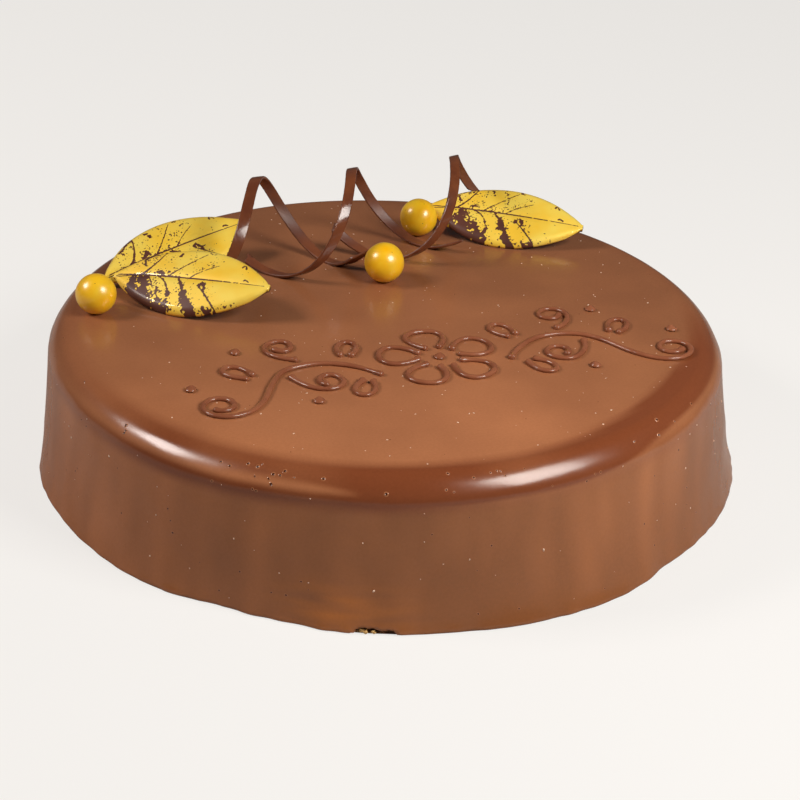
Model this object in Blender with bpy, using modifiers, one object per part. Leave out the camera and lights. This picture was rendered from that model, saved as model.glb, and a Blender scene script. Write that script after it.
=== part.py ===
"""A round chocolate torte in a poured glaze, dressed with moulded leaves,
sugar pearls, three chocolate curls and a piped flower with two running vines.

Metres, +Z up. The origin is the middle of the cake's underside, the piped
vines run along X, and the front of the cake faces -Y.
"""

import math

import bmesh
import bpy
from mathutils import Matrix, Vector

# Driving dimensions ---------------------------------------------------------

MM = 0.001

CAKE_HEIGHT = 51.3 * MM
CAKE_RADIUS = 117.6 * MM          # the side where it reaches the top
SIDE_LEAN = 5.1 * MM              # how much further out it stands at the bottom
FOOT_FLARE = 2.6 * MM             # how far the glaze runs out there besides
FOOT_HEIGHT = 13.0 * MM           # the height over which that flare dies away
RIM_ROUNDING = 8.5 * MM           # radius of the rounded top edge
RIM_SAG = (2.0 * MM, -145.0, 28.0)           # how far the edge sags, where, half width
TOP_SHIFT = (-1.1 * MM, 0.4 * MM)            # the cake leans over by this much
CAKE_STEPS = 96                   # facets round the cake
RIM_FACETS = 6                    # and over its rounded edge
SIDE_RINGS = (0.62, 0.34, 0.16, 0.05, 0.0)   # heights of the side's rings, as shares
TOP_RINGS = (0.55, 0.82)          # the rings inside the top's edge, as shares of the radius
UNEVEN_FROM = 0.8                 # share of the radius beyond which the coating is uneven
COAT_WAVES = (                    # the coating's wavy outline: height in mm, waves, turn
    (0.35, 2.0, 0.8),
    (0.25, 5.0, -1.1),
)

# Where the coating's foot bulges or was pressed in: angle, depth, half width.
FOOT_DENTS = (
    (-150, -1.1, 12),
    (-134, 2.1, 6),
    (-124, 1.5, 5),
    (-98, 0.6, 6),
    (-85, -1.5, 24),
    (-60, 2.2, 6),
    (-48, 0.9, 8),
    (-26, -0.8, 12),
    (28, 1.4, 12),
    (74, 2.2, 9),
    (121, -1.2, 14),
    (163, 1.7, 10),
)

TOUCH_GAP = 0.3 * MM              # kept between pieces that touch

PEARL_RADIUS = 7.2 * MM
PEARL_FACETS = (14, 10)
PEARLS = {                        # x, y on the cake, and size
    "pearl_left": (-98.8, 30.3, 1.00),
    "pearl_middle": (7.9, 29.6, 1.02),
    "pearl_right": (35.3, 68.2, 1.00),
}

RIBBON_WIDTH = 4.5 * MM           # along the curl's axis
RIBBON_THICKNESS = 1.0 * MM
RIBBON_STEPS_PER_TURN = 30
CURLS = {
    # x, y of its lowest point, axis angle, pitch, radius, how many degrees its
    # upper half leans back, first and last turn.
    "curl_left": (-59.2, 53.8, 1.5, 53.0, 15.6, 18.0, 0.06, 1.16),
    "curl_middle": (-29.4, 45.3, 10.0, 63.9, 16.9, 3.5, -0.12, 1.12),
    "curl_right": (13.8, 49.7, 15.8, 67.8, 15.8, 6.0, -0.20, 0.82),
}

LEAF_LENGTH = 61.0 * MM
LEAF_WIDTH = 29.0 * MM
LEAF_THICKNESS = 1.8 * MM
LEAF_ARCH = 1.8 * MM              # how far its long edges bend down
LEAF_BOW = 1.5 * MM               # how far its middle stands above stem and tip
LEAF_MIDRIB = 0.5 * MM            # depth of the groove down its middle
LEAF_MIDRIB_WIDTH = 0.16          # its half width, as a share of the leaf's
LEAF_FULLNESS = 0.72              # 1 is a plain sine outline, less is fuller
LEAF_STEM_WIDTH = 2.4 * MM
LEAF_GRID = (13, 6)
LEAVES = {  # x, y of the stem, then yaw, pitch and roll in degrees
    "leaf_front": (-89.0, 46.5, -40.0, 5.7, 30.0),
    "leaf_back": (-91.5, 49.8, 17.2, 8.0, 23.0),
    "leaf_right": (41.8, 74.4, -35.1, -0.7, 26.7),
}

# The piped ornament: a flower in the middle and the same vine on both sides.
# Its sizes are in mm, from the flower's middle.
PIPING_RADIUS = 1.1 * MM
PIPING_FLATTENING = 0.85
PIPING_STEP = 4.0                 # the longest straight piece of a line
PIPING_TURN = 46.0                # and the most degrees between two of them
ORNAMENT_CENTRE = (5.0 * MM, -37.0 * MM)
PETALS = 5
LOOP_POINTS = 14
LOOP_POINTING = 0.8               # 0 is an oval, more is a more pointed teardrop
LOOP_WIDEST = 0.77                # the widest that such a teardrop gets before scaling
PETAL_START = 5.2                 # from the flower's middle to a petal's open end
PETAL = (15.5, 12.5, 36.0)        # length, width and opening, in degrees of its turn
VINE_STROKES = {
    # x, y and heading of the start, then runs of (length, bend, bend): a bend
    # is the degrees turned for each mm, at the run's start and at its end.
    "vine": (23.0, -8.0, 58.0, ((40.0, -1.2, -4.0), (30.0, -3.0, 4.6), (43.0, 4.6, 16.0))),
    "tendril_upper": (47.0, 10.2, 30.0, ((12.0, 0.0, 7.0), (28.0, 8.0, 18.5))),
    "tendril_lower": (53.2, -0.6, -108.0, ((13.0, 0.0, -6.0), (30.0, -7.0, -18.5))),
}
SPRIG = (13.0, 6.4, 46.0)         # the same for a small leaf loop
SPRIGS = {                        # x, y of its open end, heading
    "sprig_inner": (31.5, 7.0, 112.0),
    "sprig_lower": (28.0, -8.5, -62.0),
    "sprig_outer": (64.5, 0.5, 52.0),
}
BEAD_RADIUS = 2.0 * MM
BEAD_FLATTENING = 0.6
BEAD_FACETS = (10, 6)
BEADS = {
    "bead_upper": (66.0, 22.0),
    "bead_outer": (87.0, -1.0),
    "bead_lower": (49.0, -20.0),
}

# Colours, linear ------------------------------------------------------------

GLAZE_BROWN = (0.250, 0.098, 0.045)
DARK_CHOCOLATE = (0.055, 0.018, 0.010)
PIPED_BROWN = (0.150, 0.052, 0.026)
LEAF_GOLD = (0.730, 0.450, 0.060)
PEARL_GOLD = (0.800, 0.420, 0.030)


# Helpers --------------------------------------------------------------------

def clear_scene():
    for old in list(bpy.data.objects):
        bpy.data.objects.remove(old, do_unlink=True)


def new_collection(name):
    collection = bpy.data.collections.new(name)
    bpy.context.scene.collection.children.link(collection)
    return collection


def principled(name, colour, roughness, metallic=0.0):
    material = bpy.data.materials.new(name)
    material.use_nodes = True
    shader = material.node_tree.nodes["Principled BSDF"]
    shader.inputs["Base Color"].default_value = (*colour, 1.0)
    shader.inputs["Roughness"].default_value = roughness
    shader.inputs["Metallic"].default_value = metallic
    return material


def add_object(name, data, collection, material):
    part = bpy.data.objects.new(name, data)
    part.data.materials.append(material)
    collection.objects.link(part)
    return part


def evaluated_mesh(part):
    """The object's mesh with its modifiers worked out, in its own space."""
    graph = bpy.context.evaluated_depsgraph_get()
    return bpy.data.meshes.new_from_object(part.evaluated_get(graph))


def uv_ball(name, radius, facets):
    mesh = bpy.data.meshes.new(name)
    ball = bmesh.new()
    bmesh.ops.create_uvsphere(ball, u_segments=facets[0], v_segments=facets[1], radius=radius)
    ball.to_mesh(mesh)
    ball.free()
    mesh.shade_smooth()
    return mesh


def set_down(part):
    """Lower or lift an object until it rests on the cake, a small gap above it."""
    bpy.context.view_layer.update()
    mesh = evaluated_mesh(part)
    lowest = min((part.matrix_world @ vertex.co).z for vertex in mesh.vertices)
    bpy.data.meshes.remove(mesh)
    part.location.z += CAKE_HEIGHT + TOUCH_GAP - lowest


# The glazed cake ------------------------------------------------------------

def side_radius(height):
    """The outer radius at a height, below the rounded rim."""
    lean = SIDE_LEAN * (1.0 - height / CAKE_HEIGHT)
    return CAKE_RADIUS + lean + FOOT_FLARE * math.exp(-height / FOOT_HEIGHT)


def cake_profile():
    """Points from the middle of the top, over the rim, down to the foot."""
    points = [(share * CAKE_RADIUS, CAKE_HEIGHT) for share in (0.0, *TOP_RINGS)]
    rim_base = CAKE_HEIGHT - RIM_ROUNDING
    rim_centre = side_radius(rim_base) - RIM_ROUNDING
    for step in range(RIM_FACETS + 1):
        angle = math.radians(90.0 * (1.0 - step / RIM_FACETS))
        reach = rim_centre + RIM_ROUNDING * math.cos(angle)
        points.append((reach, rim_base + RIM_ROUNDING * math.sin(angle)))
    for share in SIDE_RINGS:
        height = rim_base * share
        points.append((side_radius(height), height))
    points.append((0.0, 0.0))
    return points


def foot_dent(angle):
    """How far the foot stands in at an angle in degrees, in metres."""
    depth = 0.0
    for middle, dent, half_width in FOOT_DENTS:
        away = (angle - middle + 180.0) % 360.0 - 180.0
        depth += dent * MM * math.exp(-(away / half_width) ** 2)
    return depth


def rim_sag(angle):
    """How far the top's edge hangs at an angle in degrees, in metres."""
    depth, middle, half_width = RIM_SAG
    away = (angle - middle + 180.0) % 360.0 - 180.0
    return depth * math.exp(-(away / half_width) ** 2)


def uneven(point):
    """Move a point of the turned cake to where the poured glaze lies."""
    radius = math.hypot(point.x, point.y)
    if radius < UNEVEN_FROM * CAKE_RADIUS:
        return point
    angle = math.atan2(point.y, point.x)
    fade = math.exp(-point.z / FOOT_HEIGHT)
    wave = sum(height * MM * math.sin(count * angle + turn) for height, count, turn in COAT_WAVES)
    new_radius = radius + wave - fade * foot_dent(math.degrees(angle))
    share = point.z / CAKE_HEIGHT
    at_edge = min(1.0, max(0.0, (radius / CAKE_RADIUS - TOP_RINGS[-1]) / (1.0 - TOP_RINGS[-1])))
    return Vector((
        point.x * new_radius / radius + share * TOP_SHIFT[0],
        point.y * new_radius / radius + share * TOP_SHIFT[1],
        point.z - share * share * at_edge * rim_sag(math.degrees(angle)),
    ))


def make_cake(collection, material):
    profile = cake_profile()
    mesh = bpy.data.meshes.new("cake_profile")
    edges = [(i, i + 1) for i in range(len(profile) - 1)]
    mesh.from_pydata([(radius, 0.0, height) for radius, height in profile], edges, [])
    turned = add_object("turned_profile", mesh, collection, material)
    screw = turned.modifiers.new("Turn", "SCREW")
    screw.steps = CAKE_STEPS
    screw.render_steps = CAKE_STEPS
    screw.use_merge_vertices = True
    screw.merge_threshold = 0.0001
    solid = evaluated_mesh(turned)
    bpy.data.objects.remove(turned, do_unlink=True)
    for vertex in solid.vertices:
        vertex.co = uneven(vertex.co)
    solid.shade_smooth()
    solid.set_sharp_from_angle(angle=math.radians(40.0))
    return add_object("glazed_cake", solid, collection, material)


# Sugar pearls ---------------------------------------------------------------

def make_pearl(name, x, y, size, collection, material):
    pearl = add_object(name, uv_ball(name, PEARL_RADIUS * size, PEARL_FACETS), collection, material)
    pearl.location = (x * MM, y * MM, CAKE_HEIGHT)
    set_down(pearl)
    return pearl


# Chocolate curls ------------------------------------------------------------

def wound_band(pitch, radius, first, last, collection, material):
    """The mesh of a flat band wound round the X axis."""
    start = 2.0 * math.pi * first
    mesh = bpy.data.meshes.new("band_edge")
    points = []
    for across in (-0.5, 0.5):
        along = pitch * MM * first + across * RIBBON_WIDTH
        points.append((along, -radius * MM * math.sin(start), -radius * MM * math.cos(start)))
    mesh.from_pydata(points, [(0, 1)], [])
    band = add_object("band", mesh, collection, material)
    turns = last - first
    steps = round(RIBBON_STEPS_PER_TURN * turns)
    screw = band.modifiers.new("Wind", "SCREW")
    screw.axis = "X"
    screw.angle = -2.0 * math.pi * turns
    screw.screw_offset = pitch * MM * turns
    screw.steps = steps
    screw.render_steps = steps
    screw.use_smooth_shade = True
    wall = band.modifiers.new("Ribbon", "SOLIDIFY")
    wall.thickness = RIBBON_THICKNESS
    wall.offset = 0.0
    wall.use_even_offset = True
    wound = evaluated_mesh(band)
    bpy.data.objects.remove(band, do_unlink=True)
    return wound


def make_curl(name, x, y, axis_angle, pitch, radius, lean, first, last, collection, material):
    mesh = wound_band(pitch, radius, first, last, collection, material)
    leaning = Matrix.Identity(4)
    leaning[1][2] = math.tan(math.radians(lean))
    mesh.transform(leaning)
    curl = add_object(name, mesh, collection, material)
    curl.location = (x * MM, y * MM, CAKE_HEIGHT)
    curl.rotation_euler = (0.0, 0.0, math.radians(axis_angle))
    set_down(curl)
    return curl


# Moulded leaves -------------------------------------------------------------

def leaf_point(along, across):
    """A point of the leaf's upper face; along runs 0 to 1, across -1 to 1."""
    outline = math.sin(math.pi * along) ** LEAF_FULLNESS if 0.0 < along < 1.0 else 0.0
    half = max(0.5 * LEAF_WIDTH * outline, 0.5 * LEAF_STEM_WIDTH)
    side = half * across
    arch = -LEAF_ARCH * (side / (0.5 * LEAF_WIDTH)) ** 2
    bow = LEAF_BOW * 4.0 * along * (1.0 - along)
    groove = -LEAF_MIDRIB * math.exp(-(across / LEAF_MIDRIB_WIDTH) ** 2) * outline
    return Vector((along * LEAF_LENGTH, side, arch + bow + groove))


def make_leaf(name, x, y, yaw, pitch, roll, collection, material):
    mesh = bpy.data.meshes.new(name)
    sheet = bmesh.new()
    rows, columns = LEAF_GRID
    bmesh.ops.create_grid(sheet, x_segments=rows, y_segments=columns, size=1.0)
    for vertex in sheet.verts:
        vertex.co = leaf_point(0.5 + 0.5 * vertex.co.x, vertex.co.y)
    sheet.to_mesh(mesh)
    sheet.free()
    mesh.shade_smooth()
    leaf = add_object(name, mesh, collection, material)
    wall = leaf.modifiers.new("Shell", "SOLIDIFY")
    wall.thickness = LEAF_THICKNESS
    wall.offset = -1.0
    leaf.location = (x * MM, y * MM, CAKE_HEIGHT)
    turn = Matrix.Rotation(math.radians(yaw), 3, "Z")
    turn = turn @ Matrix.Rotation(math.radians(-pitch), 3, "Y")
    turn = turn @ Matrix.Rotation(math.radians(roll), 3, "X")
    leaf.rotation_euler = turn.to_euler()
    set_down(leaf)
    return leaf


# The piped ornament ---------------------------------------------------------

def stroke_points(x, y, heading, runs):
    """Points along a line whose bend changes evenly within each run, in mm."""
    points = [(x, y)]
    for length, bend_from, bend_to in runs:
        sharpest = max(abs(bend_from), abs(bend_to))
        count = max(3, round(length / min(PIPING_STEP, PIPING_TURN / sharpest)))
        step = length / count
        for index in range(count):
            bend = bend_from + (bend_to - bend_from) * (index + 0.5) / count
            middle = math.radians(heading + 0.5 * bend * step)
            x += step * math.cos(middle)
            y += step * math.sin(middle)
            heading += bend * step
            points.append((x, y))
    return points


def loop_points(x, y, heading, length, width, opening):
    """A teardrop line in mm, open at its pointed end, which is at x, y."""
    points = []
    for index in range(LOOP_POINTS):
        angle = math.radians(opening + (360.0 - 2.0 * opening) * index / (LOOP_POINTS - 1))
        along = 0.5 * length * (1.0 - math.cos(angle))
        across = 0.5 * width * math.sin(angle) * math.sin(0.5 * angle) ** LOOP_POINTING / LOOP_WIDEST
        turned = turned_point((along, across), heading)
        points.append((x + turned[0], y + turned[1]))
    return points


def make_piping(name, points, mirror, collection, material):
    """One piped line on the cake's top; mirror -1 puts it on the left side."""
    line = bpy.data.curves.new(name, "CURVE")
    line.dimensions = "3D"
    line.bevel_depth = PIPING_RADIUS
    line.bevel_resolution = 1
    line.use_fill_caps = True
    spline = line.splines.new("POLY")
    spline.points.add(len(points) - 1)
    for place, (x, y) in zip(spline.points, points):
        place.co = (mirror * x * MM, y * MM, 0.0, 1.0)
    piping = add_object(name, line, collection, material)
    piping.scale = (1.0, 1.0, PIPING_FLATTENING)
    piping.location = (*ORNAMENT_CENTRE, CAKE_HEIGHT)
    set_down(piping)
    return piping


def make_bead(name, x, y, collection, material):
    bead = add_object(name, uv_ball(name, BEAD_RADIUS, BEAD_FACETS), collection, material)
    bead.scale = (1.0, 1.0, BEAD_FLATTENING)
    bead.location = (ORNAMENT_CENTRE[0] + x * MM, ORNAMENT_CENTRE[1] + y * MM, CAKE_HEIGHT)
    set_down(bead)
    return bead


def turned_point(point, degrees):
    angle = math.radians(degrees)
    x, y = point
    return (x * math.cos(angle) - y * math.sin(angle), x * math.sin(angle) + y * math.cos(angle))


def make_flower(collection, material):
    for index in range(PETALS):
        heading = 90.0 + index * 360.0 / PETALS
        x, y = turned_point((PETAL_START, 0.0), heading)
        petal = loop_points(x, y, heading, *PETAL)
        make_piping(f"petal_{index + 1}", petal, 1, collection, material)
    make_bead("flower_middle", 0.0, 0.0, collection, material)


def make_vines(collection, material):
    for side, mirror in (("right", 1), ("left", -1)):
        for name, stroke in VINE_STROKES.items():
            make_piping(f"{name}_{side}", stroke_points(*stroke), mirror, collection, material)
        for name, place in SPRIGS.items():
            make_piping(f"{name}_{side}", loop_points(*place, *SPRIG), mirror, collection, material)
        for name, (x, y) in BEADS.items():
            make_bead(f"{name}_{side}", mirror * x, y, collection, material)


# The whole cake -------------------------------------------------------------

def main():
    clear_scene()
    collection = new_collection("sachertorte_cake")
    make_cake(collection, principled("poured_chocolate_glaze", GLAZE_BROWN, 0.35))
    pearl_coat = principled("pearl_gold", PEARL_GOLD, 0.3, 0.2)
    for name, place in PEARLS.items():
        make_pearl(name, *place, collection, pearl_coat)
    dark = principled("dark_chocolate", DARK_CHOCOLATE, 0.35)
    for name, shape in CURLS.items():
        make_curl(name, *shape, collection, dark)
    gold = principled("printed_gold", LEAF_GOLD, 0.3, 0.1)
    for name, pose in LEAVES.items():
        make_leaf(name, *pose, collection, gold)
    piped = principled("piped_chocolate", PIPED_BROWN, 0.3)
    make_flower(collection, piped)
    make_vines(collection, piped)


main()
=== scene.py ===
# %% [markdown]
# # A poured chocolate torte with gold leaves
#
# The real thing is a whole round torte under a coat of boiled chocolate glaze
# that was poured on warm and left to set. On top lie three moulded chocolate
# leaves with a gold print, three lustred sugar pearls, three curls of dark
# chocolate, and a flower with two vines piped in melted chocolate.
#
# The CAD model already gives every piece its size and place. What is left is
# what the eye sees: the slow waves and small flaws of the glaze, the worn gold
# print, the shine of tempered chocolate. Each step below makes one of these.

import math
import random

import bmesh
import bpy
import numpy as np
from mathutils import Matrix, Vector, noise


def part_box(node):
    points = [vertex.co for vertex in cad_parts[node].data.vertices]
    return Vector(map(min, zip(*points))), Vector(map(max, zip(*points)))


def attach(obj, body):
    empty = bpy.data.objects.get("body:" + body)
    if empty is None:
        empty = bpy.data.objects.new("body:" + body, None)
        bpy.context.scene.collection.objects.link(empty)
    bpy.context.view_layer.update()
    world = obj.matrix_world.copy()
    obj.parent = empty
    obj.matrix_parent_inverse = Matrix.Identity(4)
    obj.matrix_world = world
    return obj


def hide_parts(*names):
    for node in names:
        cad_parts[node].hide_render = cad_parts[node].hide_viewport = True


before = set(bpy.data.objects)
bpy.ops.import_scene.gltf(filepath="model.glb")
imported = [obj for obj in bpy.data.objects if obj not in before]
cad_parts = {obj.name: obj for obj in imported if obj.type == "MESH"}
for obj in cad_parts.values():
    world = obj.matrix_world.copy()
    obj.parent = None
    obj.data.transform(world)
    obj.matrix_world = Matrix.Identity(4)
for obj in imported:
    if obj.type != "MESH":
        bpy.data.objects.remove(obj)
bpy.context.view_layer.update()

# %% [markdown]
# ## Units and three small helpers
#
# A pastry cook thinks in millimetres, and so does this file: every shape is
# worked out as an array of points in mm. One function turns an array of rings
# into a mesh, because nearly everything on this cake is a skin over rings: the
# glaze is rings round its axis, a leaf or a curl is one cross-section after
# another. Computing the points directly keeps each curve exact, where a
# modifier stack would need a cage for each.

# %% From rings of points to a mesh
MM = 0.001
BODY = "root"


def make_object(mesh, material, replaced=()):
    """Link a finished mesh, give it its material, hang it on the body's empty, and hide the CAD parts it
    replaces.
    """
    mesh.materials.append(material)
    piece = bpy.data.objects.new(mesh.name, mesh)
    bpy.context.scene.collection.objects.link(piece)
    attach(piece, BODY)
    if replaced:
        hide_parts(*replaced)
    print(f"{mesh.name}: {sum(len(face.vertices) - 2 for face in mesh.polygons)} triangles")


def skin(name, rings):
    """A closed, smooth mesh over rings of points in mm; both ends are closed by a fan."""
    count, around = rings.shape[:2]
    ends = np.array([rings[0].mean(axis=0), rings[-1].mean(axis=0)])
    points = np.concatenate([rings.reshape(-1, 3), ends]) * MM
    here = np.arange(count * around).reshape(count, around)
    beside = np.roll(here, -1, axis=1)
    quads = np.stack([here[:-1], beside[:-1], beside[1:], here[1:]], axis=-1).reshape(-1, 4)
    first, last = count * around, count * around + 1
    fans = [(first, int(b), int(a)) for a, b in zip(here[0], beside[0])]
    fans += [(last, int(a), int(b)) for a, b in zip(here[-1], beside[-1])]
    mesh = bpy.data.meshes.new(name)
    mesh.from_pydata(points.tolist(), [], quads.tolist() + fans)
    body = bmesh.new()
    body.from_mesh(mesh)
    if body.calc_volume(signed=True) < 0.0:
        mesh.flip_normals()
    body.free()
    mesh.shade_smooth()
    return mesh


def paint(mesh, name, values):
    """Store one number for each point of a mesh, for its material to read."""
    layer = mesh.attributes.new(name, "FLOAT", "POINT")
    padded = np.zeros(len(mesh.vertices), np.float32)
    padded[:values.size] = values.ravel()
    layer.data.foreach_set("value", padded)


# %% Smooth noise over an array of points
def ripple(points, size, seed):
    """Noise between about -1 and 1 whose lumps are `size` mm wide along each axis."""
    flat = points.reshape(-1, 3) / np.array(size) + 31.7 * seed
    values = np.array([noise.noise(place) for place in flat.tolist()])
    return values.reshape(points.shape[:-1])


def between(value, low, high):
    """0 below low, 1 above high, and a smooth rise in between."""
    share = np.clip((value - low) / (high - low), 0.0, 1.0)
    return share * share * (3.0 - 2.0 * share)


def hump(value, middle, half_width):
    """1 at the middle, falling smoothly to about a third at the half width on either side."""
    return np.exp(-((value - middle) / half_width) ** 2)


# %% [markdown]
# ## The camera
#
# The cake is seen from a little above the table, as a guest would see it, from
# in front and slightly to its left. A long lens keeps the far rim nearly as
# wide as the near one. The frame shifts a little so that the cake sits in the
# middle, and it leans by two degrees, as a camera held by hand does.

# %% Place the camera
VIEW_AZIMUTH = math.radians(-20.0)
VIEW_ELEVATION = math.radians(26.75)
VIEW_DISTANCE = 721.0
VIEW_TARGET = Vector((0.0, 0.0, 25.0))
VIEW_LEAN = 0.0337                # radians
VIEW_SHIFT = (0.0155, -0.0231)    # shares of the frame's width

toward_camera = Vector((
    math.sin(VIEW_AZIMUTH) * math.cos(VIEW_ELEVATION),
    -math.cos(VIEW_AZIMUTH) * math.cos(VIEW_ELEVATION),
    math.sin(VIEW_ELEVATION),
))
camera_data = bpy.data.cameras.new("table_view")
camera_data.lens = 90.0
camera_data.sensor_width = 36.0
camera_data.shift_x, camera_data.shift_y = VIEW_SHIFT
camera = bpy.data.objects.new("table_view", camera_data)
bpy.context.scene.collection.objects.link(camera)
camera.location = (VIEW_TARGET + toward_camera * VIEW_DISTANCE) * MM
level = (-toward_camera).to_track_quat("-Z", "Y").to_matrix()
camera.rotation_euler = (level @ Matrix.Rotation(VIEW_LEAN, 3, "Z")).to_euler()
bpy.context.scene.camera = camera
print("camera at", [round(v, 3) for v in camera.location])

# %% [markdown]
# ## Materials from their real names
#
# Each finish starts from what the stuff is and how its surface was made, since
# that decides how sharp its reflections are: sugar glaze sets satin, chocolate
# that cooled against a plastic mould comes out like a mirror. Colours are the
# everyday hex values, and one function makes them linear for the shader. One
# small function adds a node with its settings and links. Most finishes here
# also drift between two tones in soft clouds, so that pattern has a function.

# %% Colour and node helpers
def linear(hex_colour):
    """An sRGB hex value such as "#a05f3c" as the linear colour a shader wants."""
    channels = [int(hex_colour[i:i + 2], 16) / 255.0 for i in (1, 3, 5)]
    bent = [c / 12.92 if c <= 0.04045 else ((c + 0.055) / 1.055) ** 2.4 for c in channels]
    return (*bent, 1.0)


def feed(tree, node, inputs):
    """Give each socket a number or colour, or a link: a node stands for its first output."""
    for key, value in inputs.items():
        if isinstance(value, bpy.types.Node):
            value = value.outputs[0]
        if isinstance(value, bpy.types.NodeSocket):
            tree.links.new(value, node.inputs[key])
        else:
            node.inputs[key].default_value = value


def add(tree, kind, inputs=None, **settings):
    """Add a shader node with its settings and links."""
    made = tree.nodes.new("ShaderNode" + kind)
    for name, value in settings.items():
        setattr(made, name, value)
    feed(tree, made, inputs or {})
    return made


def start_material(name):
    """An empty finish: its node tree, its shader and the place on the object in metres."""
    material = bpy.data.materials.new(name)
    material.use_nodes = True
    tree = material.node_tree
    place = add(tree, "TexCoord").outputs["Object"]
    return material, tree, tree.nodes["Principled BSDF"], place


def per_metre(size_mm):
    """The texture scale whose pattern repeats about every `size_mm`."""
    return 1.0 / (size_mm * MM)


def two_tones(tree, place, size_mm, dark, light, detail=3.0, low=0.35):
    """A colour that drifts between two hex values in soft clouds, and the clouds themselves."""
    clouds = add(tree, "TexNoise", {"Vector": place, "Scale": per_metre(size_mm), "Detail": detail})
    share = add(tree, "MapRange", {"Value": clouds, "From Min": low, "From Max": 1.0 - low})
    return add(tree, "MixRGB", {"Fac": share, "Color1": linear(dark), "Color2": linear(light)}), clouds


# %% [markdown]
# ## The poured glaze: its shape
#
# Glaze is poured on in the middle and runs out over the rim and down the side.
# It levels itself on top, thickens as it turns over the edge, and runs out to a
# small foot where it meets the board. So the body is a turned profile, the same
# one that the CAD solid has, with finer and finer waves laid on it: slow swells
# on top, lumps along the rim, runs down the side and a ragged foot.

# %% The profile of the cake
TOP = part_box("glazed_cake")[1].z / MM
CAKE_RADIUS = 117.6
SIDE_LEAN = 5.1
FOOT_FLARE = 2.6
FOOT_HEIGHT = 13.0
RIM_ROUNDING = 8.5
RIM_DOME = 0.5                    # how far the edge hangs all round
RIM_SAG = (2.0, -145.0, 28.0)     # and at one place besides: how far, where, half width
TOP_SHIFT = (-1.1, 0.4)
AROUND = 640                      # points in each ring
TOP_RINGS = 44
RIM_RINGS = 26
SIDE_RINGS = 54
FOOT_ROUNDING = 0.9

# Where the foot bulges or was pressed in: angle, depth, half width.
FOOT_DENTS = (
    (-150, -1.1, 12),
    (-134, 2.1, 6),
    (-124, 1.5, 5),
    (-98, 0.6, 6),
    (-85, -1.5, 24),
    (-60, 2.2, 6),
    (-48, 0.9, 8),
    (-26, -0.8, 12),
    (28, 1.4, 12),
    (74, 2.2, 9),
    (121, -1.2, 14),
    (163, 1.7, 10),
)


def side_radius(height):
    lean = SIDE_LEAN * (1.0 - height / TOP)
    return CAKE_RADIUS + lean + FOOT_FLARE * np.exp(-height / FOOT_HEIGHT)


def rim_turn():
    """Out and up shares (0 to 1) of each ring of the rim, whose turn is flatter at 37 degrees."""
    fine_steps = 100
    slope = np.linspace(90.0, 0.0, RIM_RINGS * fine_steps + 1)
    wide = 1.0 + 1.3 * hump(slope, 37.0, 12.0)
    out = np.cumsum(wide * np.sin(np.radians(slope)))
    down = np.cumsum(wide * np.cos(np.radians(slope)))
    picked = np.arange(RIM_RINGS) * fine_steps
    return out[picked] / out[-1], 1.0 - down[picked] / down[-1]


def cake_profile():
    """Radius and height of each ring, from the middle of the top to that of the underside."""
    rim_out, rim_up = rim_turn()
    rim_base = TOP - RIM_ROUNDING
    rim_centre = side_radius(rim_base) - RIM_ROUNDING
    top = np.linspace(1.0, rim_centre, TOP_RINGS, endpoint=False)
    drop = np.linspace(rim_base, FOOT_ROUNDING, SIDE_RINGS)
    foot = np.radians(np.array([25.0, 50.0, 75.0, 90.0]))
    foot_edge = side_radius(FOOT_ROUNDING)
    radius = np.concatenate([
        top,
        rim_centre + RIM_ROUNDING * rim_out,
        side_radius(drop),
        foot_edge - FOOT_ROUNDING + FOOT_ROUNDING * np.cos(foot),
        [0.9 * foot_edge, 1.0],
    ])
    height = np.concatenate([
        np.full(TOP_RINGS, TOP),
        rim_base + RIM_ROUNDING * rim_up,
        drop,
        FOOT_ROUNDING - FOOT_ROUNDING * np.sin(foot),
        [0.0, 0.0],
    ])
    return radius, height


def turned(degrees, middle):
    """Degrees from the middle, from -180 to 180."""
    return (degrees - middle + 180.0) % 360.0 - 180.0


def foot_dent(degrees):
    """How far the foot stands in at each angle, in mm."""
    return sum(dent * hump(turned(degrees, middle), 0.0, half) for middle, dent, half in FOOT_DENTS)


def rim_sag(degrees):
    """How far the top's edge hangs at each angle, in mm."""
    depth, middle, half_width = RIM_SAG
    return RIM_DOME + depth * hump(turned(degrees, middle), 0.0, half_width)


# %% Waves on the glaze
CHIP_ANGLE = -110.5               # where a little of the foot broke off
CHIP_HALF_WIDTH = 3.6             # degrees
CHIP_HEIGHT = 2.6
CHIP_DEPTH = 2.2


def top_swell(points):
    """How far the top stands above level, in mm: slow swells and faint runs along X."""
    slow = 0.16 * ripple(points, (48.0, 48.0, 48.0), 1)
    runs = 0.035 * ripple(points, (46.0, 6.5, 40.0), 2)
    return slow + runs


def side_lumps(points, degrees):
    """How far the glaze stands out of the turned side and rim, in mm."""
    height = points[..., 2]
    slow = 0.42 * ripple(points, (34.0, 34.0, 26.0), 3)
    small = 0.2 * ripple(points, (13.0, 13.0, 13.0), 4) + 0.07 * ripple(points, (5.5, 5.5, 5.5), 14)
    runs = 0.10 * ripple(points, (7.5, 7.5, 60.0), 5)
    ragged = 0.55 * np.exp(-height / 2.2) * ripple(points, (5.5, 5.5, 9.0), 6)
    corner = hump(degrees, -12.0, 20.0) * hump(height, 17.0, 13.0)
    sagging = 1.1 * corner * ripple(points, (15.0, 15.0, 17.0), 7)
    return slow + small + runs + ragged + sagging


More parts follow.
